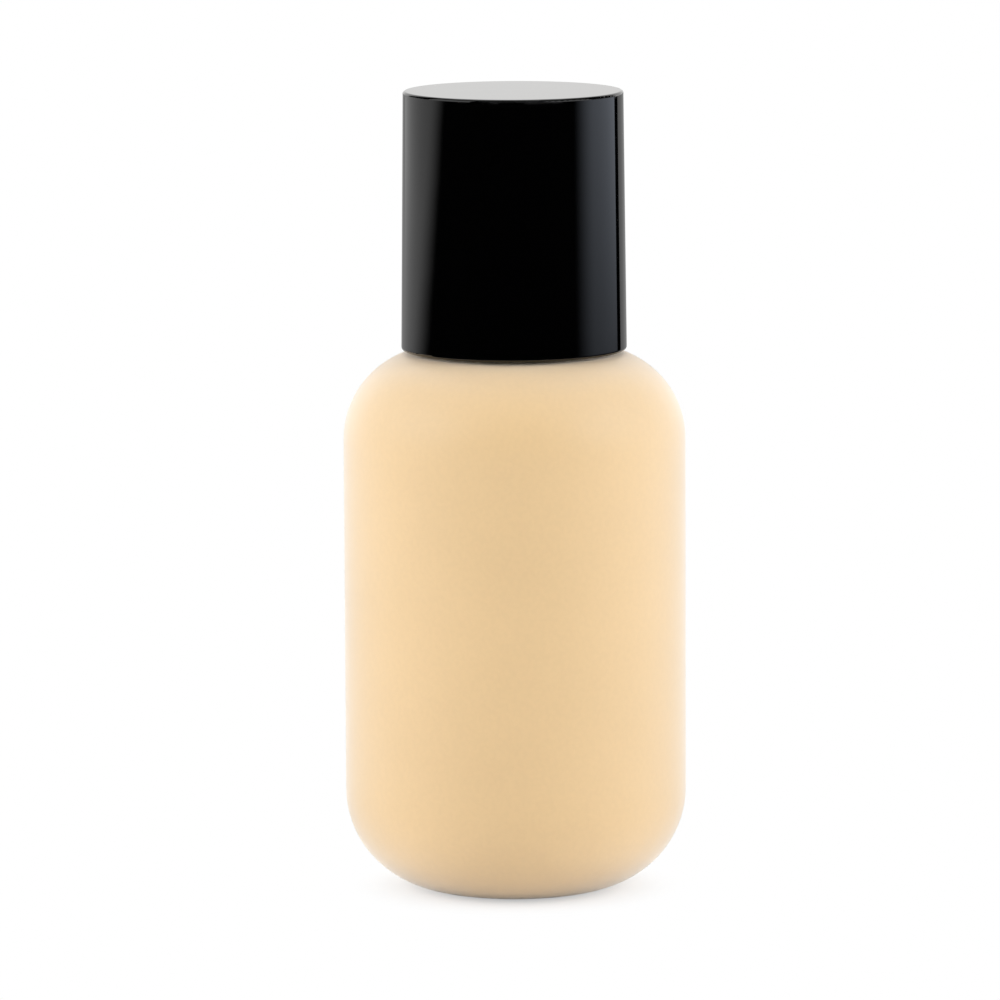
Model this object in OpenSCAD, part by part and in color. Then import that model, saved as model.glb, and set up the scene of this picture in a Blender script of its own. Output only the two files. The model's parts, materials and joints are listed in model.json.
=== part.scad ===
// Foundation bottle: a matte blow-moulded bottle, a finger pump screwed on its neck, and a gloss overcap.
// Millimetres, +Z up. The origin is the centre of the face it stands on, and the spout points along -Y.

/* [Bottle] */
// Outside diameter of the body
body_d = 35.4; // [34:0.1:38]
// Height with the overcap on
total_h = 83; // [83:0.5:90]
// Height of the shoulder, where the neck starts
shoulder_h = 56.3; // [50:0.1:56.6]
// Radius of the rounded shoulder
shoulder_r = 9.4; // [7:0.1:9.4]
// Radius of the rounded base edge
base_r = 10.3; // [8:0.1:10.6]
// Thickness of the body's wall
wall = 1.6; // [1.2:0.1:2]
// Depth of the hollow under the base
push_up = 1; // [0.6:0.1:1.4]

/* [Neck and thread] */
// Diameter of the neck under its thread
neck_d = 13.1; // [12.9:0.1:13.3]
// Diameter over the neck's thread
thread_d = 14.7; // [14.5:0.1:14.8]
// Bore of the neck
neck_bore_d = 9.9; // [9.6:0.1:10.3]
// Height of the neck above the shoulder
neck_h = 9.6; // [9:0.1:9.6]
// Rise of the thread in one turn
thread_lead = 2.1; // [2:0.05:2.2]
// Turns of thread on the neck
thread_turns = 1.75; // [1.25:0.25:2]

/* [Collar] */
// Outside diameter of the threaded collar
collar_d = 17.2; // [17:0.1:17.4]
// Outside diameter of the sleeve over the collar
sleeve_d = 19.2; // [18.8:0.1:19.2]
// Height of the sleeve
sleeve_h = 16.8; // [16.6:0.1:16.9]

/* [Pump] */
// How far the actuator goes down
stroke = 4; // [3:0.1:4]
// How far the piston slips on the stem to open the outlet
piston_slip = 0.8; // [0.5:0.1:0.9]
// Bore of the pumping chamber
chamber_d = 6; // [5.8:0.1:6.2]
// Outside diameter of the stem
stem_d = 3.4; // [3.2:0.1:3.4]
// Diameter of the inlet ball
ball_d = 3; // [2.8:0.1:3.1]
// Outside diameter of the dip tube
tube_d = 3.2; // [3:0.1:3.4]
// Wire of the return spring
spring_wire = 0.5; // [0.4:0.05:0.6]
// Turns of the return spring
spring_turns = 7; // [6:1:8]

/* [Actuator] */
// Diameter of the actuator's finger pad
pad_d = 13.8; // [13:0.2:14.2]
// Distance of the spout's tip from the axis
spout_reach = 8.8; // [8:0.1:9.3]
// Bore of the spout
spout_bore = 1.2; // [1:0.1:1.4]

/* [Overcap] */
// Outside diameter of the overcap at its foot
cap_foot_d = 23.3; // [22.9:0.1:24]
// Outside diameter of the overcap at its top
cap_top_d = 22.7; // [22.2:0.1:23]
// Thickness of the overcap's shell
cap_wall = 0.9; // [0.8:0.05:0.9]
// Gripping ribs inside the overcap's liner
grip_ribs = 8; // [6:1:12]

/* [Hidden] */
$fn = 96;
EPS = 0.01;
edge_round = 0.3;
body_r = body_d / 2;
base_floor = wall + 0.4;

// Standing ring: flat from the push-up's rim out to the base's rounded edge
foot_r = body_r - base_r;
dome_rim = foot_r - 1.5;
dome_r = (pow(dome_rim, 2) + pow(push_up, 2)) / (2 * push_up);

// Neck
neck_r = neck_d / 2;
thread_r = thread_d / 2;
neck_bore_r = neck_bore_d / 2;
neck_top = shoulder_h + neck_h;
neck_fillet = 0.8;
bead_z = shoulder_h + 1.3;
bead_r = 0.45;
thread_z = neck_top - 1.3 - thread_lead * thread_turns;
thread_steps = 36;
thread_fade = 4;
thread_sink = 0.12;
flank = tan(30);
crest_half = 0.25;
thread_play = 0.15;

// Stack over the neck: gasket, housing flange, collar plate
gasket_t = 0.8;
flange_z = neck_top + gasket_t;
flange_t = 0.9;
flange_top = flange_z + flange_t;
flange_r = 6.9;
face_play = 0.04;
rim_play = 0.1;
plate_z = flange_top + face_play;
plate_t = 1.05;
plate_top = plate_z + plate_t;

// Collar and sleeve
collar_r = collar_d / 2;
collar_bore_r = thread_r + 0.3;
collar_crest_r = neck_r + 0.3;
collar_z = shoulder_h + 2;
sleeve_r = sleeve_d / 2;
sleeve_z = shoulder_h + 0.4;
sleeve_top = sleeve_z + sleeve_h;
sleeve_roof = 0.8;
sleeve_round = 0.5;
hole_round = 0.25;
foot_flange_r = sleeve_r + 0.8;
foot_flange_t = 0.6;

// Pump housing
chamber_r = chamber_d / 2;
mouth_r = 3.6;
mouth_z = flange_top - 6;
housing_top_r = 4.5;
flare_z = mouth_z - 1.5;
flare_h = 0.6;
housing_r = chamber_r + 0.9;
chamber_z = flange_top - 20.9;
ball_r = ball_d / 2;
cage_r = ball_r + 0.4;
nib_t = 0.4;
nib_lap = 0.25;
nib_root = 0.2;
ball_z = chamber_z - 2.2;
// The seat is a 45 degree cone, and the ball lies a hair above it
seat_r = 1;
seat_gap = 0.04;
seat_z = ball_z - (ball_r + seat_gap) * sqrt(2) + seat_r;
socket_top = seat_z - 0.6;
socket_z = socket_top - 5.8;
tube_r = tube_d / 2;
tube_bore_r = tube_r - 0.5;
nipple_r = tube_r + 0.7;
tube_foot = base_floor + push_up + 0.6;
foot_slant = 40;
vent_d = 0.6;
vent_z = mouth_z - 2.6;
spring_play = 0.02;
spring_inset = 0.25;

// Stem guide
stem_r = stem_d / 2;
guide_rim_r = 4.5;
guide_top = plate_top + 0.4;
guide_step_z = flange_top - 1.5;
guide_bore_r = stem_r + 0.1;
guide_relief_r = 2.6;
snap_z = mouth_z + 2.2;
snap_depth = 0.13;
snap_half = 0.4;
snap_play = 0.05;
guide_play = 0.2;

// Stem, poppet and piston
stem_stop_r = 2.4;
stem_stop_top = guide_step_z - 0.1;
stem_stop_t = 1.4;
stem_neck_r = 1.3;
stem_neck_bore_r = 0.8;
stem_bore_r = 1;
stem_bore_step = 0.6;
port_d = 0.6;
poppet_r = 2.4;
poppet_cone = 0.7;
poppet_top = mouth_z - 4.1;
poppet_t = 1.2;
pin_h = 0.8;
stem_step_z = mouth_z;
piston_r = chamber_r - 0.03;
piston_top = stem_step_z - piston_slip - 0.1;
// The piston's mouth rests on the poppet's 45 degree cone, a hair above it
piston_bore_r = 1.9;
piston_foot = poppet_top - 0.45;
piston_hollow_top = poppet_top + 1.7;
piston_gap = 0.05;
lip_h = 0.55;
lip_t = 0.5;
lip_proud = 0.3;
lip_setback = 0.2;

// Actuator, drawn at the top of its stroke
skirt_r = 5.8;
skirt_bore_r = 5.1;
sleeve_hole_r = skirt_r + 0.3;
skirt_z = plate_top + stroke + 0.4;
pad_z = sleeve_top + stroke + 0.3;
pad_h = 3.2;
pad_r = pad_d / 2;
pad_top = pad_z + pad_h;
pad_wall = 0.7;
pad_round = 0.6;
core_r = pad_r - pad_wall;
core_plate_t = 0.8;
socket_r = 2.7;
socket_play = 0.04;
socket_foot = skirt_z + 0.5;
spout_seat = 0.3;
stem_top = pad_z - 0.8;
spout_r = 1.1;
spout_z = pad_z + 1.2;
spout_cut = 22;
dish_r = 26;
dish_depth = 0.4;

// Overcap
cap_z = shoulder_h - 0.1;
cap_foot_r = cap_foot_d / 2;
cap_top_r = cap_top_d / 2;
cap_roof = 1.2;
foot_round = 0.35;
cap_bore_r = cap_foot_r - cap_wall;
liner_z = sleeve_z + foot_flange_t + face_play;
liner_h = 14;
liner_bore_r = sleeve_r + 0.3;
rib_r = 0.25;
rib_margin = 2;

function unit(v) = v / norm(v);
function mix(a, b, t) = a + (b - a) * t;

// A ring of rectangular section, turned about Z
module ring(r_in, r_out, z0, z1) {
  rotate_extrude() translate([r_in, z0]) square([r_out - r_in, z1 - z0]);
}

// What a round of radius r takes off a convex corner at k, between the edges towards a and b
module corner(k, a, b, r) {
  u = unit(a - k);
  v = unit(b - k);
  w = unit(u + v);
  half = acos(u * v) / 2;
  c = k + w * r / sin(half);
  reach = r / tan(half);
  difference() {
    polygon([c, k + u * reach, k - w * 0.5, k + v * reach]);
    translate(c) circle(r);
  }
}

// A strip swept along a helix: rings of points, each with n corners, joined into one closed surface
module swept(rings) {
  n = len(rings[0]);
  m = len(rings);
  sides = [for (i = [0 : m - 2], j = [0 : n - 1])
    [i * n + j, i * n + (j + 1) % n, (i + 1) * n + (j + 1) % n, (i + 1) * n + j]];
  first = [for (j = [n - 1 : -1 : 0]) j];
  last = [for (j = [0 : n - 1]) (m - 1) * n + j];
  polyhedron(points = [for (r = rings) each r], faces = concat([first], sides, [last]), convexity = 6);
}

// A screw thread on a wall of radius root_r: external where crest_r is larger, internal where it is less
module thread(root_r, crest_r, z, turns) {
  out = sign(crest_r - root_r);
  base_r = root_r - out * thread_sink;
  base_half = crest_half + abs(crest_r - base_r) * flank;
  steps = ceil(turns * thread_steps);
  rings = [for (i = [0 : steps])
    let (
      a = 360 * turns * i / steps,
      zc = z + thread_lead * turns * i / steps,
      grown = min(1, i / thread_fade, (steps - i) / thread_fade),
      tip_r = mix(base_r + out * 0.05, crest_r, grown),
      tip_half = mix(base_half - 0.05, crest_half, grown),
      section = [[base_r, -base_half], [tip_r, -tip_half], [tip_r, tip_half], [base_r, base_half]],
      order = out > 0 ? [0, 1, 2, 3] : [3, 2, 1, 0]
    )
    [for (j = order) [section[j][0] * cos(a), section[j][0] * sin(a), zc + section[j][1]]]
  ];
  swept(rings);
}

// Half section of the body at a distance inside its outer face, with the floor at its own height
module body_section(inset, floor_z) {
  r = body_r - inset;
  top = shoulder_h - inset;
  low_r = base_r - inset;
  high_r = shoulder_r - inset;
  difference() {
    translate([0, floor_z]) square([r, top - floor_z]);
    corner([r, floor_z], [0, floor_z], [r, top], low_r);
    corner([r, top], [0, top], [r, floor_z], high_r);
  }
}

module neck_section() {
  translate([0, shoulder_h - wall]) square([neck_r, neck_h + wall]);
  difference() {
    translate([neck_r - EPS, shoulder_h - EPS]) square(neck_fillet + EPS);
    translate([neck_r + neck_fillet, shoulder_h + neck_fillet]) circle(neck_fillet);
  }
  translate([neck_r, bead_z]) circle(bead_r);
}

module bottle_cavity_section() {
  difference() {
    body_section(wall, base_floor);
    translate([0, push_up - dome_r]) circle(dome_r + base_floor);
  }
  translate([0, shoulder_h - 2 * wall]) square([neck_bore_r, neck_h + 2 * wall + 1]);
}

module bottle() {
  color("wheat") {
    difference() {
      rotate_extrude() difference() {
        union() {
          body_section(0, 0);
          neck_section();
        }
        bottle_cavity_section();
        corner([neck_r, neck_top], [0, neck_top], [neck_r, 0], edge_round);
      }
      translate([0, 0, push_up - dome_r]) sphere(dome_r);
    }
    thread(neck_r, thread_r, thread_z, thread_turns);
  }
}

module neck_gasket() {
  color("ivory") ring(housing_top_r, thread_r - rim_play, neck_top + face_play / 2, flange_z);
}

// Half section of the housing's outside: nipple, chamber, mouth and flange
module housing_outline() {
  polygon([
    [0, socket_z], [nipple_r, socket_z], [nipple_r, socket_top], [housing_r, chamber_z - nib_t],
    [housing_r, flare_z], [housing_top_r, flare_z + flare_h], [housing_top_r, flange_z],
    [flange_r, flange_z], [flange_r, flange_top], [0, flange_top]
  ]);
}

// Half section of its hollow: tube socket, ball seat and cage, chamber, and mouth with its snap groove
module housing_bore() {
  groove_r = mouth_r + snap_depth + snap_play;
  groove_half = snap_half + 2 * snap_play;
  polygon([
    [0, socket_z - 1], [tube_r, socket_z - 1], [tube_r, socket_top], [seat_r, socket_top], [seat_r, seat_z],
    [cage_r, seat_z + cage_r - seat_r], [cage_r, chamber_z], [chamber_r, chamber_z], [chamber_r, mouth_z],
    [mouth_r, mouth_z], [mouth_r, snap_z - groove_half], [groove_r, snap_z - groove_half],
    [groove_r, snap_z + groove_half], [mouth_r, snap_z + groove_half], [mouth_r, flange_top + 1],
    [0, flange_top + 1]
  ]);
}

module pump_housing() {
  color("whitesmoke") {
    difference() {
      rotate_extrude() difference() {
        housing_outline();
        housing_bore();
      }
      // Vent that lets air in past the pressed piston
      translate([0, 0, vent_z]) rotate([0, 90, 0]) cylinder(d = vent_d, h = flange_r, $fn = 24);
    }
    // Nibs that keep the ball in its cage
    for (a = [0 : 90 : 270])
      rotate(a) translate([ball_r - nib_lap, -nib_t, chamber_z - nib_t])
        cube([nib_lap + cage_r - ball_r + nib_root, 2 * nib_t, nib_t - EPS]);
  }
}

module dip_tube() {
  color("aliceblue") difference() {
    ring(tube_bore_r, tube_r, tube_foot, socket_top);
    // The foot is cut at a slant, so that it can't seal on the floor
    translate([-tube_r, 0, tube_foot]) rotate([0, foot_slant, 0])
      translate([-tube_d, -tube_d, -2 * tube_d]) cube([4 * tube_d, 2 * tube_d, 2 * tube_d]);
  }
}

module inlet_ball() {
  color("silver") translate([0, 0, ball_z]) sphere(ball_r);
}

// Height of the spring's centreline along its turns: the end turns lie closed and the rest rise evenly
function spring_height(t, low, high) =
  t < 1 ? low + spring_wire * t
  : t > spring_turns - 1 ? high - spring_wire * (spring_turns - t)
  : mix(low + spring_wire, high - spring_wire, (t - 1) / (spring_turns - 2));

module return_spring() {
  wire_r = spring_wire / 2;
  low = chamber_z + wire_r + spring_play;
  high = poppet_top - poppet_t - wire_r - spring_play;
  coil_r = chamber_r - spring_inset - wire_r;
  per_turn = 22;
  sides = 8;
  rings = [for (i = [0 : spring_turns * per_turn])
    let (t = i / per_turn, a = 360 * t, z = spring_height(t, low, high))
    [for (j = [0 : sides - 1])
      let (b = 360 * j / sides, r = coil_r + wire_r * cos(b))
      [r * cos(a), r * sin(a), z + wire_r * sin(b)]]
  ];
  color("lightgrey") swept(rings);
}

module valve_poppet() {
  color("whitesmoke") {
    rotate_extrude() polygon([
      [0, poppet_top - poppet_t], [poppet_r, poppet_top - poppet_t], [poppet_r, poppet_top - poppet_cone],
      [poppet_r - poppet_cone, poppet_top], [0, poppet_top]
    ]);
    // Its pin is pressed into the bore of the stem's neck
    translate([0, 0, poppet_top - EPS]) cylinder(r = stem_neck_bore_r, h = pin_h + EPS);
  }
}

module piston() {
  cone_edge = poppet_r - poppet_cone + poppet_top - piston_foot + piston_gap;
  cone_end = piston_foot + cone_edge - piston_bore_r;
  color("white") rotate_extrude() difference() {
    union() {
      translate([0, piston_foot]) square([piston_r - lip_proud, piston_top - piston_foot]);
      // Lips that wipe the chamber
      translate([piston_r - lip_t, piston_foot + lip_setback]) square([lip_t, lip_h]);
      translate([piston_r - lip_t, piston_top - lip_h]) square([lip_t, lip_h]);
    }
    // The bore that slides on the stem's neck, the hollow round the stem's ports, and the sealing mouth
    translate([0, piston_foot - 1]) square([stem_neck_r + piston_gap, piston_top - piston_foot + 2]);
    translate([0, piston_foot - 1]) square([piston_bore_r, piston_hollow_top - piston_foot + 1]);
    polygon([
      [0, piston_foot - EPS], [cone_edge + EPS, piston_foot - EPS],
      [piston_bore_r - EPS, cone_end + EPS], [0, cone_end + EPS]
    ]);
  }
}

module stem() {
  color("whitesmoke") difference() {
    union() {
      ring(0, stem_neck_r, poppet_top, stem_step_z + EPS);
      ring(0, stem_r, stem_step_z, stem_top);
      ring(0, stem_stop_r, stem_stop_top - stem_stop_t, stem_stop_top);
    }
    ring(0, stem_neck_bore_r, poppet_top - 1, stem_step_z + stem_bore_step);
    ring(0, stem_bore_r, stem_step_z + stem_bore_step - EPS, stem_top + 1);
    // Ports that let the liquid in under the piston
    translate([0, 0, poppet_top + pin_h + port_d / 2]) rotate([0, 90, 0])
      cylinder(d = port_d, h = 4 * stem_neck_r, center = true, $fn = 24);
  }
}

module stem_guide() {
  color("whitesmoke") rotate_extrude() difference() {
    union() {
      translate([0, mouth_z]) square([mouth_r, guide_top - mouth_z]);
      translate([0, flange_top]) square([guide_rim_r, guide_top - flange_top]);
      // Bead that snaps into the housing
      polygon([
        [0, snap_z - snap_half], [mouth_r, snap_z - snap_half], [mouth_r + snap_depth, snap_z],
        [mouth_r, snap_z + snap_half], [0, snap_z + snap_half]
      ]);
    }
    translate([0, mouth_z - 1]) square([guide_bore_r, guide_top - mouth_z + 2]);
    translate([0, mouth_z - 1]) square([guide_relief_r, guide_step_z - mouth_z + 1]);
    corner([guide_rim_r, guide_top], [0, guide_top], [guide_rim_r, 0], edge_round);
  }
}

module threaded_collar() {
  color("dimgray") {
    ring(collar_bore_r, collar_r, collar_z, plate_top);
    ring(guide_rim_r + guide_play, collar_r, plate_z, plate_top);
    // Its thread sits under the neck's, with a little play on the flank that carries the load
    overlap = collar_crest_r - thread_r;
    drop = 2 * crest_half - overlap * flank + thread_play;
    thread(collar_bore_r, collar_crest_r, thread_z - drop, thread_turns);
  }
}

module collar_sleeve() {
  color("black") rotate_extrude() difference() {
    union() {
      translate([collar_r, sleeve_z]) square([sleeve_r - collar_r, sleeve_h]);
      translate([sleeve_hole_r, sleeve_top - sleeve_roof]) square([sleeve_r - sleeve_hole_r, sleeve_roof]);
      translate([collar_r, sleeve_z]) square([foot_flange_r - collar_r, foot_flange_t]);
    }
    corner([sleeve_r, sleeve_top], [0, sleeve_top], [sleeve_r, 0], sleeve_round);
    corner([sleeve_hole_r, sleeve_top], [sleeve_r, sleeve_top], [sleeve_hole_r, 0], hole_round);
  }
}

module actuator_core() {
  color("black") difference() {
    union() {
      ring(skirt_bore_r, skirt_r, skirt_z, pad_z + EPS);
      ring(0, core_r, pad_z, pad_z + core_plate_t);
      ring(0, socket_r, socket_foot, spout_z + spout_r);
      translate([0, 0, spout_z]) rotate([90, 0, 0]) cylinder(r = spout_r, h = spout_reach);
    }
    ring(0, stem_r + socket_play, skirt_z, stem_top + socket_play);
    ring(0, spout_bore / 2, stem_top, spout_z);
    translate([0, 0, spout_z]) rotate([90, 0, 0]) cylinder(d = spout_bore, h = spout_reach + 1, $fn = 48);
    // The spout's tip is cut back underneath, so that it doesn't drip
    translate([-2, -spout_reach, spout_z + spout_r]) rotate([spout_cut, 0, 0])
      translate([0, -2, -4]) cube([4, 2, 5]);
  }
}

module actuator_shell() {
  color("black") difference() {
    rotate_extrude() difference() {
      union() {
        translate([core_r, pad_z]) square([pad_wall, pad_h]);
        translate([0, spout_z + spout_r]) square([pad_r, pad_top - spout_z - spout_r]);
      }
      corner([pad_r, pad_top], [0, pad_top], [pad_r, 0], pad_round);
    }
    // Shallow dish for the fingertip
    translate([0, 0, pad_top + dish_r - dish_depth]) sphere(dish_r);
    // Slot that lets the shell drop over the spout
    translate([-spout_r, -pad_r - 1, pad_z - 1]) cube([2 * spout_r, pad_wall + 2, spout_z - pad_z + 1]);
    translate([0, spout_seat - core_r, spout_z]) rotate([90, 0, 0]) cylinder(r = spout_r, h = pad_wall + 1);
  }
}

module overcap_liner() {
  color("dimgray") {
    ring(liner_bore_r, cap_bore_r, liner_z, liner_z + liner_h);
    for (i = [0 : grip_ribs - 1])
      rotate((i + 0.5) * 360 / grip_ribs) translate([liner_bore_r, 0, liner_z + rib_margin])
        cylinder(r = rib_r, h = liner_h - 2 * rib_margin, $fn = 24);
  }
}

module overcap_shell() {
  foot_in = [cap_bore_r, cap_z];
  foot_out = [cap_foot_r, cap_z];
  top_out = [cap_top_r, total_h];
  roof_z = total_h - cap_roof;
  color("black") rotate_extrude() difference() {
    polygon([
      foot_in, foot_out, top_out, [0, total_h], [0, roof_z], [cap_top_r - cap_wall, roof_z],
      [cap_bore_r, liner_z + liner_h]
    ]);
    corner(foot_out, foot_in, top_out, foot_round);
    corner(top_out, [0, total_h], foot_out, edge_round);
  }
}

bottle();
neck_gasket();
pump_housing();
dip_tube();
inlet_ball();
return_spring();
valve_poppet();
piston();
stem();
stem_guide();
threaded_collar();
collar_sleeve();
actuator_core();
actuator_shell();
overcap_liner();
overcap_shell();
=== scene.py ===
import json
import math

import bpy
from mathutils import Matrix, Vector


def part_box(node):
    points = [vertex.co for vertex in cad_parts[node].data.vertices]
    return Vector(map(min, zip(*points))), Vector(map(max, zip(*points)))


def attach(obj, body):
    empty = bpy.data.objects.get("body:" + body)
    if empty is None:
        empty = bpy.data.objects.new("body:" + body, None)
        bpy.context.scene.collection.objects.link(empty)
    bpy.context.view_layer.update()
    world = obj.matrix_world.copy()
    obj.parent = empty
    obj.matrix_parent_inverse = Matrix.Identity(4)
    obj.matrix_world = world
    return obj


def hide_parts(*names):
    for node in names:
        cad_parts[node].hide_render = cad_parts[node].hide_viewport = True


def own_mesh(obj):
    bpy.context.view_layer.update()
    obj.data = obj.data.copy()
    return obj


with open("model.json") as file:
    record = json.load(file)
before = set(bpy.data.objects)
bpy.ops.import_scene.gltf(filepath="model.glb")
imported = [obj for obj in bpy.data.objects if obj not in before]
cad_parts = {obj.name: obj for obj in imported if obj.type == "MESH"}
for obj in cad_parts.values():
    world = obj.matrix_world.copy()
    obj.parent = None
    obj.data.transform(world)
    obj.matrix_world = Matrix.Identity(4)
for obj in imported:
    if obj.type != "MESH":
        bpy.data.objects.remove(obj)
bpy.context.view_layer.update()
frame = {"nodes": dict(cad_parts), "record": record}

# Foundation bottle: the looks. Metres, +Z up, with the spout and the camera on the -Y side.
SCENE = bpy.context.scene
MM = 0.001


# ------------------------------------------------------------------------------ camera

def add_camera():
    """A long lens, a little above the object and looking slightly down at the middle of it."""
    distance = 763 * MM
    height = 150 * MM
    aimed_at = Vector((-1.53 * MM, 0, 40.45 * MM))
    lean = math.radians(-0.264)
    data = bpy.data.cameras.new("camera")
    data.sensor_width = 36
    data.lens = 267.8
    data.clip_start = 0.05
    camera = bpy.data.objects.new("camera", data)
    SCENE.collection.objects.link(camera)
    camera.location = (0, -distance, height)
    camera.rotation_euler = (aimed_at - camera.location).to_track_quat("-Z", "Y").to_euler()
    camera.rotation_euler.rotate_axis("Z", lean)
    SCENE.camera = camera


# ------------------------------------------------------------------------------ nodes

def calculate(tree, operation, first, second=0.0, third=0.0, clamp=False):
    """One Math node. Each value is a number or the output of another node. Returns its output."""
    made = tree.nodes.new("ShaderNodeMath")
    made.operation = operation
    made.use_clamp = clamp
    for index, value in enumerate((first, second, third)):
        if isinstance(value, (int, float)):
            made.inputs[index].default_value = value
        else:
            tree.links.new(value, made.inputs[index])
    return made.outputs["Value"]


def noise(tree, size, detail=2.0, roughness=0.5, distortion=0.0, vector=None):
    """Noise whose features are about size across, in metres. size is a number or an output.
    Returns its output."""
    made = tree.nodes.new("ShaderNodeTexNoise")
    made.inputs["Detail"].default_value = detail
    made.inputs["Roughness"].default_value = roughness
    made.inputs["Distortion"].default_value = distortion
    if isinstance(size, (int, float)):
        made.inputs["Scale"].default_value = 1 / size
    else:
        tree.links.new(calculate(tree, "DIVIDE", 1.0, size), made.inputs["Scale"])
    if vector is None:
        vector = tree.nodes.new("ShaderNodeTexCoord").outputs["Object"]
    tree.links.new(vector, made.inputs["Vector"])
    return made.outputs["Fac"]


def map_value(tree, value, low, high, to_low=0.0, to_high=1.0, smooth=True):
    """Value carried from one range to another and held at its ends. Returns the output."""
    made = tree.nodes.new("ShaderNodeMapRange")
    if smooth:
        made.interpolation_type = "SMOOTHSTEP"
    tree.links.new(value, made.inputs["Value"])
    bounds = {"From Min": low, "From Max": high, "To Min": to_low, "To Max": to_high}
    for socket, bound in bounds.items():
        if isinstance(bound, (int, float)):
            made.inputs[socket].default_value = bound
        else:
            tree.links.new(bound, made.inputs[socket])
    return made.outputs["Result"]


# ------------------------------------------------------------------------------ studio

# How brightly each lamp glows, where 1 is white paper as the camera sees it
SIDE_FOOT = 0.8
LEFT_BOX = 3.9
RIGHT_BOX = 4.0
BACKDROP = 1.05
BACKDROP_FOOT = 0.43
OVERHEAD_BACK = 3.6
OVERHEAD_FRONT = 0.2
FRONT = 0.2
WINDOW = 8.0
ROOM = 0.02
ROOM_MIRRORED = 0.001

# The most that a mirror face sees of any lamp
MIRRORED = 1.3

# How far from the bottle's axis the paper has faded to plain white
PAPER_FADE = 18 * MM


def glowing(name, strength, colour=(1, 1, 1)):
    """The skin of a soft panel. strength is a number, or a function that builds it in the panel's own
    node tree. A mirror face sees no more of it than MIRRORED."""
    material = bpy.data.materials.new(name)
    material.use_nodes = True
    tree = material.node_tree
    tree.nodes.clear()
    glow = tree.nodes.new("ShaderNodeEmission")
    glow.inputs["Color"].default_value = (*colour, 1)
    full = calculate(tree, "ADD", strength(tree) if callable(strength) else strength)
    spare = calculate(tree, "MAXIMUM", calculate(tree, "SUBTRACT", full, MIRRORED), 0.0)
    mirrored = tree.nodes.new("ShaderNodeLightPath").outputs["Is Glossy Ray"]
    shown = calculate(tree, "SUBTRACT", full, calculate(tree, "MULTIPLY", spare, mirrored))
    tree.links.new(shown, glow.inputs["Strength"])
    output = tree.nodes.new("ShaderNodeOutputMaterial")
    tree.links.new(glow.outputs["Emission"], output.inputs["Surface"])
    return material


def graded(across, slant, heights, strengths):
    """The strength of a side panel's foot, for glowing. It rises from nothing at across[0] to full at
    across[1], in metres from the panel's middle, and that edge moves along by slant metres for each metre
    of height. Full is strengths[0] at heights[0] and strengths[1] at heights[1]."""
    def build(tree):
        place = tree.nodes.new("ShaderNodeSeparateXYZ")
        tree.links.new(tree.nodes.new("ShaderNodeTexCoord").outputs["Object"], place.inputs["Vector"])
        height = tree.nodes.new("ShaderNodeSeparateXYZ")
        tree.links.new(tree.nodes.new("ShaderNodeNewGeometry").outputs["Position"], height.inputs["Vector"])
        edge = calculate(tree, "MULTIPLY_ADD", height.outputs["Z"], -slant, place.outputs["X"])
        full = map_value(tree, height.outputs["Z"], *heights, *strengths, smooth=False)
        return calculate(tree, "MULTIPLY", map_value(tree, edge, *across), full)
    return build


def hide_from_camera(panel):
    """A lamp lights and is reflected, but isn't seen itself and casts no shadow."""
    panel.visible_camera = False
    panel.visible_shadow = False


def upright_panel(name, azimuth, distance, width, low, high, material):
    """A soft panel that stands facing the object. Azimuth 0 is on the camera's side and 90 on its right."""
    turn = math.radians(azimuth)
    place = (distance * math.sin(turn), -distance * math.cos(turn), (low + high) / 2)
    bpy.ops.object.select_all(action="DESELECT")
    bpy.ops.mesh.primitive_plane_add(size=1, location=place, rotation=(math.pi / 2, 0, turn))
    panel = bpy.context.object
    panel.name = name
    panel.scale = (width, high - low, 1)
    bpy.ops.object.transform_apply(location=False, rotation=False, scale=True)
    panel.data.materials.append(material)
    hide_from_camera(panel)


def level_panel(name, y, size, height, material):
    """A soft panel that hangs level over the object and faces down."""
    bpy.ops.object.select_all(action="DESELECT")
    bpy.ops.mesh.primitive_plane_add(size=size, location=(0, y, height), rotation=(math.pi, 0, 0))
    panel = bpy.context.object
    panel.name = name
    panel.data.materials.append(material)
    hide_from_camera(panel)


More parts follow.
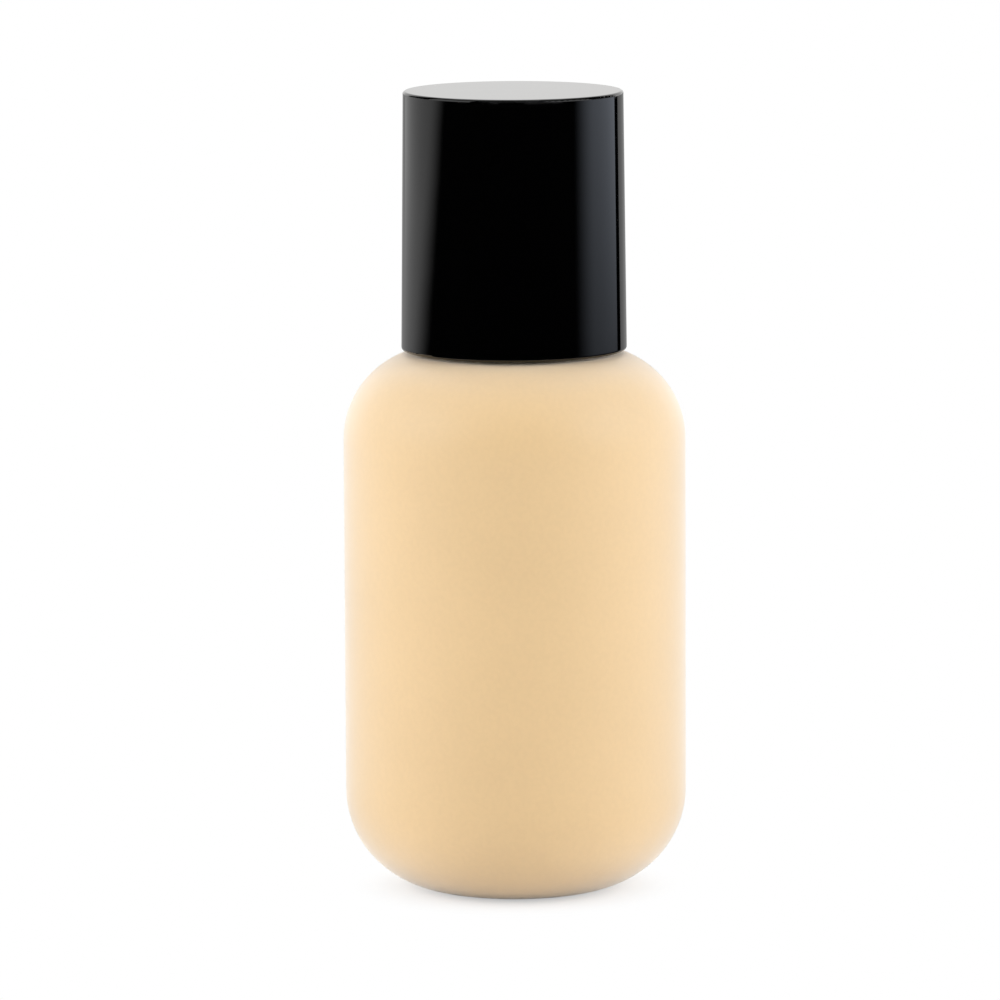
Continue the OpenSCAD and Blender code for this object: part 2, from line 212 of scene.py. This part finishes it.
def add_panels():
    """A soft box high on each side, with its weaker foot further round and down to the table, a white
    backdrop, two panels overhead, a card in front and a small window high on the left. Upright mirror faces
    see only what is near the table, where the front is left dark."""
    left_foot = graded(
        across=(0.12, -0.16), slant=6, heights=(-20 * MM, 30 * MM), strengths=(0.5 * SIDE_FOOT, SIDE_FOOT))
    upright_panel(
        "left_foot", azimuth=-113, distance=0.45, width=0.76, low=-0.12, high=0.1,
        material=glowing("left_foot", left_foot))
    right_foot = graded(
        across=(-0.28, -0.02), slant=0, heights=(-20 * MM, 50 * MM), strengths=(0.0, 1.5 * SIDE_FOOT))
    upright_panel(
        "right_foot", azimuth=96, distance=0.45, width=0.63, low=-0.12, high=0.1,
        material=glowing("right_foot", right_foot, (0.80, 0.87, 1.0)))
    upright_panel(
        "left_box", azimuth=-72, distance=0.5, width=0.5, low=0.1, high=0.55,
        material=glowing("left_box", LEFT_BOX))
    upright_panel(
        "right_box", azimuth=72, distance=0.5, width=0.5, low=0.1, high=0.55,
        material=glowing("right_box", RIGHT_BOX))

    upright_panel(
        "backdrop", azimuth=180, distance=0.6, width=1.0, low=0.075, high=0.7,
        material=glowing("backdrop", BACKDROP, (1, 0.995, 0.985)))
    upright_panel(
        "backdrop_foot", azimuth=180, distance=0.6, width=1.0, low=-0.3, high=0.075,
        material=glowing("backdrop_foot", BACKDROP_FOOT))
    upright_panel(
        "front_card", azimuth=0, distance=0.9, width=0.8, low=0.03, high=0.4,
        material=glowing("front_card", FRONT))
    upright_panel(
        "window", azimuth=-30, distance=0.9, width=0.26, low=0.5, high=0.56,
        material=glowing("window", WINDOW))
    for name, y, strength in (
            ("overhead_back", 0.35, OVERHEAD_BACK), ("overhead_front", -0.35, OVERHEAD_FRONT)):
        level_panel(name, y=y, size=0.7, height=0.7, material=glowing(name, strength))


def add_floor():
    """White paper. It is seen as it is lit close to the object and fades to plain white further out."""
    bpy.ops.mesh.primitive_plane_add(size=4)
    floor = bpy.context.object
    floor.name = "floor"
    paper = bpy.data.materials.new("white_paper")
    paper.use_nodes = True
    tree = paper.node_tree
    shader = tree.nodes["Principled BSDF"]
    shader.inputs["Base Color"].default_value = (0.9, 0.9, 0.9, 1)
    shader.inputs["Roughness"].default_value = 0.9
    shader.inputs["Specular IOR Level"].default_value = 0
    white = tree.nodes.new("ShaderNodeEmission")
    place = tree.nodes.new("ShaderNodeTexCoord")
    reach = tree.nodes.new("ShaderNodeVectorMath")
    reach.operation = "LENGTH"
    tree.links.new(place.outputs["Object"], reach.inputs[0])
    fading = map_value(tree, reach.outputs["Value"], 0.0, PAPER_FADE)
    path = tree.nodes.new("ShaderNodeLightPath")
    both = tree.nodes.new("ShaderNodeMixShader")
    tree.links.new(calculate(tree, "MULTIPLY", fading, path.outputs["Is Camera Ray"]), both.inputs["Fac"])
    tree.links.new(shader.outputs["BSDF"], both.inputs[1])
    tree.links.new(white.outputs["Emission"], both.inputs[2])
    tree.links.new(both.outputs["Shader"], tree.nodes["Material Output"].inputs["Surface"])
    floor.data.materials.append(paper)
    floor.visible_glossy = False


def add_room():
    """The room beyond the lamps: white where it is looked at, a faint fill on matt faces, dark in
    reflections."""
    world = bpy.data.worlds.new("room")
    SCENE.world = world
    world.use_nodes = True
    tree = world.node_tree
    tree.nodes.clear()
    path = tree.nodes.new("ShaderNodeLightPath")
    strengths = {"looked_at": 1.0, "fill": ROOM, "reflected": ROOM_MIRRORED}
    glows = {}
    for name, strength in strengths.items():
        glows[name] = tree.nodes.new("ShaderNodeBackground")
        glows[name].inputs["Color"].default_value = (1, 1, 1, 1)
        glows[name].inputs["Strength"].default_value = strength
    unseen = tree.nodes.new("ShaderNodeMixShader")
    tree.links.new(path.outputs["Is Glossy Ray"], unseen.inputs["Fac"])
    tree.links.new(glows["fill"].outputs["Background"], unseen.inputs[1])
    tree.links.new(glows["reflected"].outputs["Background"], unseen.inputs[2])
    every = tree.nodes.new("ShaderNodeMixShader")
    tree.links.new(path.outputs["Is Camera Ray"], every.inputs["Fac"])
    tree.links.new(unseen.outputs["Shader"], every.inputs[1])
    tree.links.new(glows["looked_at"].outputs["Background"], every.inputs[2])
    output = tree.nodes.new("ShaderNodeOutputWorld")
    tree.links.new(every.outputs["Shader"], output.inputs["Surface"])
    SCENE.view_settings.view_transform = "Standard"


# ------------------------------------------------------------------------------ surface effects

def effect(name, inputs, outputs):
    """An empty node group. inputs is {name: first value}, with a tuple for a colour; outputs is
    {name: kind}. Returns the group, its input node and its output node."""
    group = bpy.data.node_groups.new(name, "ShaderNodeTree")
    for socket, value in inputs.items():
        kind = "NodeSocketColor" if isinstance(value, tuple) else "NodeSocketFloat"
        group.interface.new_socket(name=socket, in_out="INPUT", socket_type=kind).default_value = value
    for socket, kind in outputs.items():
        group.interface.new_socket(name=socket, in_out="OUTPUT", socket_type=kind)
    return group, group.nodes.new("NodeGroupInput"), group.nodes.new("NodeGroupOutput")


def make_tone_drift():
    """Pigment that isn't quite even: the colour is a little lighter and darker from patch to patch."""
    group, given, result = effect(
        "tone_drift", {"Colour": (0.5, 0.5, 0.5, 1.0), "Patch": 8 * MM, "Amount": 0.02},
        {"Colour": "NodeSocketColor"})
    patches = noise(group, given.outputs["Patch"], detail=3)
    least = calculate(group, "SUBTRACT", 1.0, given.outputs["Amount"])
    most = calculate(group, "ADD", 1.0, given.outputs["Amount"])
    share = map_value(group, patches, 0.3, 0.7, least, most)
    scaled = group.nodes.new("ShaderNodeVectorMath")
    scaled.operation = "SCALE"
    group.links.new(given.outputs["Colour"], scaled.inputs[0])
    group.links.new(share, scaled.inputs["Scale"])
    group.links.new(scaled.outputs["Vector"], result.inputs["Colour"])
    return group


def make_fine_grain():
    """The grain of a moulded or sprayed skin, as a height from 0 to 1."""
    group, given, result = effect(
        "fine_grain", {"Grain": 0.3 * MM, "Waviness": 0.3, "Wave": 5 * MM}, {"Height": "NodeSocketFloat"})
    grain = noise(group, given.outputs["Grain"], detail=2, roughness=0.6)
    wave = noise(group, given.outputs["Wave"], detail=1)
    both = calculate(group, "MULTIPLY_ADD", wave, given.outputs["Waviness"], grain)
    group.links.new(both, result.inputs["Height"])
    return group


def make_handling():
    """What hands and shelves leave on a skin: greasy patches that change its gloss, and hairlines in
    three directions, each in patches."""
    smudge_size, hairline, hairline_patch = 11 * MM, 0.22 * MM, 6 * MM
    directions = (0.35, 1.2, 2.3)
    drawn_out = 0.03
    group, given, result = effect(
        "handling", {"Roughness": 0.3, "Smudge": 0.05, "Scratch": 0.1},
        {"Roughness": "NodeSocketFloat", "Scratches": "NodeSocketFloat"})
    smudges = map_value(group, noise(group, smudge_size, detail=4, distortion=1.2), 0.46, 0.66)
    place = group.nodes.new("ShaderNodeTexCoord")
    total = None
    for turn in directions:
        slant = group.nodes.new("ShaderNodeMapping")
        slant.inputs["Rotation"].default_value = (0.5 * turn, turn, 0.8 * turn)
        slant.inputs["Scale"].default_value = (1.0, 1.0, drawn_out)
        group.links.new(place.outputs["Object"], slant.inputs["Vector"])
        slanted = slant.outputs["Vector"]
        lines = map_value(group, noise(group, hairline, detail=1, vector=slanted), 0.70, 0.74)
        patch = map_value(group, noise(group, hairline_patch, detail=2, vector=slanted), 0.5, 0.62)
        share = calculate(group, "MULTIPLY", lines, patch)
        total = share if total is None else calculate(group, "MAXIMUM", total, share)
    scratched = calculate(group, "MULTIPLY", total, given.outputs["Scratch"])
    greasy = calculate(group, "MULTIPLY_ADD", smudges, given.outputs["Smudge"], given.outputs["Roughness"])
    group.links.new(calculate(group, "ADD", greasy, scratched, clamp=True), result.inputs["Roughness"])
    group.links.new(total, result.inputs["Scratches"])
    return group


def make_rub_band():
    """Wear round a rim: a mask that is strongest at one height, fades within its reach and is broken up."""
    group, given, result = effect(
        "rub_band", {"Height": 0.05, "Reach": 0.3 * MM, "Breakup": 1.2 * MM}, {"Mask": "NodeSocketFloat"})
    split = group.nodes.new("ShaderNodeSeparateXYZ")
    group.links.new(group.nodes.new("ShaderNodeTexCoord").outputs["Object"], split.inputs["Vector"])
    above = calculate(group, "SUBTRACT", split.outputs["Z"], given.outputs["Height"])
    away = calculate(group, "ABSOLUTE", above)
    near = map_value(group, away, given.outputs["Reach"], 0.0)
    broken = map_value(group, noise(group, given.outputs["Breakup"], detail=4), 0.45, 0.62)
    group.links.new(calculate(group, "MULTIPLY", near, broken), result.inputs["Mask"])
    return group


def make_dust():
    """A few specks of dust, far apart, as a mask. Only some of the cells hold one."""
    empty_share = 0.55
    group, given, result = effect("dust", {"Spacing": 3 * MM, "Size": 0.04}, {"Mask": "NodeSocketFloat"})
    cells = group.nodes.new("ShaderNodeTexVoronoi")
    group.links.new(calculate(group, "DIVIDE", 1.0, given.outputs["Spacing"]), cells.inputs["Scale"])
    group.links.new(group.nodes.new("ShaderNodeTexCoord").outputs["Object"], cells.inputs["Vector"])
    speck = calculate(group, "LESS_THAN", cells.outputs["Distance"], given.outputs["Size"])
    split = group.nodes.new("ShaderNodeSeparateColor")
    group.links.new(cells.outputs["Color"], split.inputs["Color"])
    chosen = calculate(group, "GREATER_THAN", split.outputs["Red"], empty_share)
    group.links.new(calculate(group, "MULTIPLY", speck, chosen), result.inputs["Mask"])
    return group


def make_parting_line():
    """The faint ridge where two halves of a mould met, on the plane through the axis and X, as a height."""
    group, given, result = effect("parting_line", {"Width": 0.12 * MM}, {"Height": "NodeSocketFloat"})
    split = group.nodes.new("ShaderNodeSeparateXYZ")
    group.links.new(group.nodes.new("ShaderNodeTexCoord").outputs["Object"], split.inputs["Vector"])
    away = calculate(group, "ABSOLUTE", split.outputs["Y"])
    group.links.new(map_value(group, away, given.outputs["Width"], 0.0), result.inputs["Height"])
    return group


EFFECTS = {
    "tone_drift": make_tone_drift(),
    "fine_grain": make_fine_grain(),
    "handling": make_handling(),
    "rub_band": make_rub_band(),
    "dust": make_dust(),
    "parting_line": make_parting_line(),
}


# ------------------------------------------------------------------------------ finishes

def new_finish(name, **sockets):
    """A Principled material with plain values on its own sockets. Returns the material, its tree and its
    shader."""
    material = bpy.data.materials.new(name)
    material.use_nodes = True
    tree = material.node_tree
    shader = tree.nodes["Principled BSDF"]
    for socket, value in sockets.items():
        shader.inputs[socket.replace("_", " ")].default_value = value
    return material, tree, shader


def place_effect(tree, name, **values):
    """One of the shared effects with its own values. A value may be another node's output. Returns its
    node."""
    made = tree.nodes.new("ShaderNodeGroup")
    made.node_tree = EFFECTS[name]
    for socket, value in values.items():
        if isinstance(value, bpy.types.NodeSocket):
            tree.links.new(value, made.inputs[socket])
        else:
            made.inputs[socket].default_value = value
    return made


def blend_colour(tree, factor, first, second):
    """Two colours mixed by a mask. Either may be a colour or another node's output. Returns the output."""
    made = tree.nodes.new("ShaderNodeMix")
    made.data_type = "RGBA"
    made.clamp_factor = True
    factor_socket, first_socket, second_socket, result_socket = 0, 6, 7, 2
    tree.links.new(factor, made.inputs[factor_socket])
    for index, value in ((first_socket, first), (second_socket, second)):
        if isinstance(value, bpy.types.NodeSocket):
            tree.links.new(value, made.inputs[index])
        else:
            made.inputs[index].default_value = value
    return made.outputs[result_socket]


def emboss(tree, shader, heights):
    """Bumps laid one over another. heights is [(height output, depth in metres, raised)]."""
    last = None
    for height, depth, raised in heights:
        bump = tree.nodes.new("ShaderNodeBump")
        bump.inputs["Strength"].default_value = 1
        bump.inputs["Distance"].default_value = depth
        bump.invert = not raised
        tree.links.new(height, bump.inputs["Height"])
        if last is not None:
            tree.links.new(last.outputs["Normal"], bump.inputs["Normal"])
        last = bump
    tree.links.new(last.outputs["Normal"], shader.inputs["Normal"])


def make_matte_cream():
    """Soft-touch lacquer on the blown bottle: pale beige, matt, with a velvet edge and the finest orange
    peel. The bare neck is rubbed by the collar's threads."""
    cream = (0.84, 0.585, 0.295, 1)
    material, tree, shader = new_finish(
        "matte_cream", IOR=1.5, Sheen_Weight=1.0, Sheen_Roughness=0.55, Sheen_Tint=(1, 1, 1, 1))
    broad = place_effect(tree, "tone_drift", Colour=cream, Patch=14 * MM, Amount=0.012)
    fine = place_effect(tree, "tone_drift", Colour=broad.outputs["Colour"], Patch=0.5 * MM, Amount=0.012)
    neck_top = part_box("bottle")[1].z
    rubbed = place_effect(tree, "rub_band", Height=neck_top - 4 * MM, Reach=5 * MM, Breakup=0.8 * MM)
    worn = blend_colour(tree, rubbed.outputs["Mask"], fine.outputs["Colour"], (0.86, 0.70, 0.48, 1))
    tree.links.new(worn, shader.inputs["Base Color"])
    touched = place_effect(tree, "handling", Roughness=0.46, Smudge=-0.05, Scratch=-0.04)
    tree.links.new(touched.outputs["Roughness"], shader.inputs["Roughness"])
    peel = place_effect(tree, "fine_grain", Grain=0.28 * MM, Waviness=1.5, Wave=2.2 * MM)
    seam = place_effect(tree, "parting_line", Width=0.14 * MM)
    emboss(tree, shader, [
        (peel.outputs["Height"], 0.004 * MM, True), (seam.outputs["Height"], 0.03 * MM, True)])
    return material


def make_gloss_black():
    """Polished black moulding: deep black, a hint of sink in its reflections, hairlines, a rubbed rim and
    foot on the overcap, and dust."""
    material, tree, shader = new_finish("gloss_black", IOR=1.5)
    low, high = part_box("overcap_shell")
    touched = place_effect(tree, "handling", Roughness=0.03, Smudge=0.008, Scratch=0.02)
    foot = place_effect(tree, "rub_band", Height=low.z, Reach=0.35 * MM, Breakup=1.5 * MM)
    rim = place_effect(tree, "rub_band", Height=high.z - 0.3 * MM, Reach=0.28 * MM, Breakup=2.0 * MM)
    rubbed = calculate(tree, "MAXIMUM", foot.outputs["Mask"], rim.outputs["Mask"])
    dusty = place_effect(tree, "dust", Spacing=7 * MM, Size=0.016)
    black = blend_colour(tree, rubbed, (0.0004, 0.0004, 0.0005, 1), (0.006, 0.006, 0.0065, 1))
    speckled = blend_colour(tree, dusty.outputs["Mask"], black, (0.25, 0.24, 0.23, 1))
    tree.links.new(speckled, shader.inputs["Base Color"])
    rougher = calculate(tree, "MULTIPLY_ADD", rubbed, 0.18, touched.outputs["Roughness"])
    tree.links.new(rougher, shader.inputs["Roughness"])
    sink = place_effect(tree, "fine_grain", Grain=0.5 * MM, Waviness=60, Wave=9 * MM)
    emboss(tree, shader, [
        (sink.outputs["Height"], 0.0002 * MM, True), (touched.outputs["Scratches"], 0.0006 * MM, False)])
    return material


def make_black_moulding():
    """Fine-textured black polypropylene, as it comes from the mould."""
    material, tree, shader = new_finish("black_moulding", IOR=1.49)
    tone = place_effect(tree, "tone_drift", Colour=(0.012, 0.012, 0.013, 1), Patch=3 * MM, Amount=0.15)
    tree.links.new(tone.outputs["Colour"], shader.inputs["Base Color"])
    touched = place_effect(tree, "handling", Roughness=0.36, Smudge=0.06, Scratch=0.15)
    tree.links.new(touched.outputs["Roughness"], shader.inputs["Roughness"])
    grain = place_effect(tree, "fine_grain", Grain=0.16 * MM, Waviness=0.4, Wave=2 * MM)
    seam = place_effect(tree, "parting_line", Width=0.08 * MM)
    emboss(tree, shader, [
        (grain.outputs["Height"], 0.008 * MM, True), (seam.outputs["Height"], 0.02 * MM, True)])
    return material


def make_natural_polypropylene():
    """Unpigmented polypropylene: milky, waxy and slightly see-through, with faint flow marks."""
    material, tree, shader = new_finish(
        "natural_polypropylene", IOR=1.49, Subsurface_Weight=0.6, Subsurface_Scale=1.2 * MM,
        Subsurface_Radius=(1.0, 1.0, 1.0))
    flow = place_effect(tree, "tone_drift", Colour=(0.80, 0.82, 0.80, 1), Patch=2.5 * MM, Amount=0.03)
    tree.links.new(flow.outputs["Colour"], shader.inputs["Base Color"])
    touched = place_effect(tree, "handling", Roughness=0.32, Smudge=0.05, Scratch=0.08)
    tree.links.new(touched.outputs["Roughness"], shader.inputs["Roughness"])
    skin = place_effect(tree, "fine_grain", Grain=0.2 * MM, Waviness=1.0, Wave=1.5 * MM)
    emboss(tree, shader, [(skin.outputs["Height"], 0.003 * MM, True)])
    return material


def make_piston_white():
    """Soft white polyethylene with a greasy shine."""
    material, tree, shader = new_finish(
        "piston_white", IOR=1.51, Subsurface_Weight=0.4, Subsurface_Scale=0.8 * MM,
        Subsurface_Radius=(1.0, 0.9, 0.8))
    tone = place_effect(tree, "tone_drift", Colour=(0.86, 0.86, 0.84, 1), Patch=1.5 * MM, Amount=0.02)
    tree.links.new(tone.outputs["Colour"], shader.inputs["Base Color"])
    touched = place_effect(tree, "handling", Roughness=0.28, Smudge=0.08, Scratch=0.05)
    tree.links.new(touched.outputs["Roughness"], shader.inputs["Roughness"])
    skin = place_effect(tree, "fine_grain", Grain=0.15 * MM, Waviness=0.5, Wave=1 * MM)
    emboss(tree, shader, [(skin.outputs["Height"], 0.002 * MM, True)])
    return material


def make_clear_tube():
    """Extruded tube: clear but frosted, with draw lines along its length."""
    material, tree, shader = new_finish(
        "clear_tube", IOR=1.49, Transmission_Weight=0.8, Base_Color=(0.90, 0.94, 0.95, 1))
    slant = tree.nodes.new("ShaderNodeMapping")
    slant.inputs["Scale"].default_value = (1, 1, 0.02)
    tree.links.new(tree.nodes.new("ShaderNodeTexCoord").outputs["Object"], slant.inputs["Vector"])
    lines = noise(tree, 0.25 * MM, detail=2, vector=slant.outputs["Vector"])
    tree.links.new(map_value(tree, lines, 0.3, 0.7, 0.18, 0.34), shader.inputs["Roughness"])
    emboss(tree, shader, [(lines, 0.008 * MM, True)])
    return material


def make_gasket_foam():
    """Closed-cell foam sheet, cut to a washer."""
    material, tree, shader = new_finish("gasket_foam", IOR=1.4, Roughness=0.85)
    tone = place_effect(tree, "tone_drift", Colour=(0.82, 0.82, 0.78, 1), Patch=0.8 * MM, Amount=0.05)
    tree.links.new(tone.outputs["Colour"], shader.inputs["Base Color"])
    cells = tree.nodes.new("ShaderNodeTexVoronoi")
    cells.inputs["Scale"].default_value = 1 / (0.14 * MM)
    tree.links.new(tree.nodes.new("ShaderNodeTexCoord").outputs["Object"], cells.inputs["Vector"])
    emboss(tree, shader, [(cells.outputs["Distance"], 0.05 * MM, False)])
    return material


def make_steel():
    """Stainless steel, polished, with the marks of drawing and tumbling."""
    material, tree, shader = new_finish("steel", Metallic=1.0)
    tone = place_effect(tree, "tone_drift", Colour=(0.62, 0.62, 0.63, 1), Patch=1.2 * MM, Amount=0.05)
    tree.links.new(tone.outputs["Colour"], shader.inputs["Base Color"])
    touched = place_effect(tree, "handling", Roughness=0.14, Smudge=0.10, Scratch=0.2)
    tree.links.new(touched.outputs["Roughness"], shader.inputs["Roughness"])
    skin = place_effect(tree, "fine_grain", Grain=0.08 * MM, Waviness=0.2, Wave=0.6 * MM)
    emboss(tree, shader, [(skin.outputs["Height"], 0.001 * MM, True)])
    return material


FINISHES = {
    "matte_cream": make_matte_cream(),
    "gloss_black": make_gloss_black(),
    "black_moulding": make_black_moulding(),
    "natural_polypropylene": make_natural_polypropylene(),
    "piston_white": make_piston_white(),
    "clear_tube": make_clear_tube(),
    "gasket_foam": make_gasket_foam(),
    "steel": make_steel(),
}


def finish_nodes():
    """Each CAD node takes the finish of its own material slot."""
    for subpart in frame["record"]["subparts"]:
        node = frame["nodes"][subpart["node"]]
        node.data.materials.clear()
        node.data.materials.append(FINISHES[subpart["material_slot"]])


# ------------------------------------------------------------------------------ the spring

def wind_return_spring():
    """Round wire wound up the chamber, closed at both ends and ground flat there.

    The cut's threshold has to be far below the wire's thickness. The tool's own, 0.1 mm, takes vertices of
    so thin a wire to lie on the cut, and leaves edges shared by three faces and mixed windings."""
    low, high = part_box("return_spring")
    wire_r = 0.25 * MM
    ground = 0.1 * MM
    turns = 7
    steps = 30
    coil_r = high.x - wire_r
    start = low.z - ground + wire_r
    sides = 14
    closed_gap = 0.03 * MM
    cut_threshold = 0.0001 * MM
    merged_within = 0.002 * MM
    smooth_below = math.radians(50)
    closed_rise = 2 * wire_r + closed_gap
    open_rise = (high.z + ground - wire_r - start - 2 * closed_rise) / (turns - 2)
    bpy.ops.object.select_all(action="DESELECT")
    bpy.ops.mesh.primitive_circle_add(
        vertices=sides, radius=wire_r, fill_type="NGON", location=(coil_r, 0, start),
        rotation=(math.pi / 2, 0, 0))
    spring = bpy.context.object
    spring.name = "wound_spring"
    bpy.ops.object.transform_apply(location=True, rotation=True, scale=True)
    bpy.ops.object.mode_set(mode="EDIT")
    bpy.ops.mesh.select_all(action="SELECT")
    for step in range(turns * steps):
        closed = step < steps or step >= (turns - 1) * steps
        rise = (closed_rise if closed else open_rise) / steps
        bpy.ops.mesh.extrude_region_move(TRANSFORM_OT_translate={"value": (0, 0, rise)})
        bpy.ops.transform.rotate(value=-2 * math.pi / steps, orient_axis="Z", center_override=(0, 0, 0))
    for height, side in ((low.z, -1), (high.z, 1)):
        bpy.ops.mesh.select_all(action="SELECT")
        bpy.ops.mesh.bisect(
            plane_co=(0, 0, height), plane_no=(0, 0, side), use_fill=True, clear_outer=True,
            threshold=cut_threshold)
    bpy.ops.mesh.select_all(action="SELECT")
    bpy.ops.mesh.remove_doubles(threshold=merged_within)
    bpy.ops.mesh.normals_make_consistent(inside=False)
    bpy.ops.object.mode_set(mode="OBJECT")
    bpy.ops.object.shade_smooth_by_angle(angle=smooth_below)
    spring.data.materials.append(FINISHES["steel"])
    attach(spring, "pump_unit")
    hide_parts("return_spring")
    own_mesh(spring)


add_camera()
finish_nodes()
wind_return_spring()
add_panels()
add_floor()
add_room()
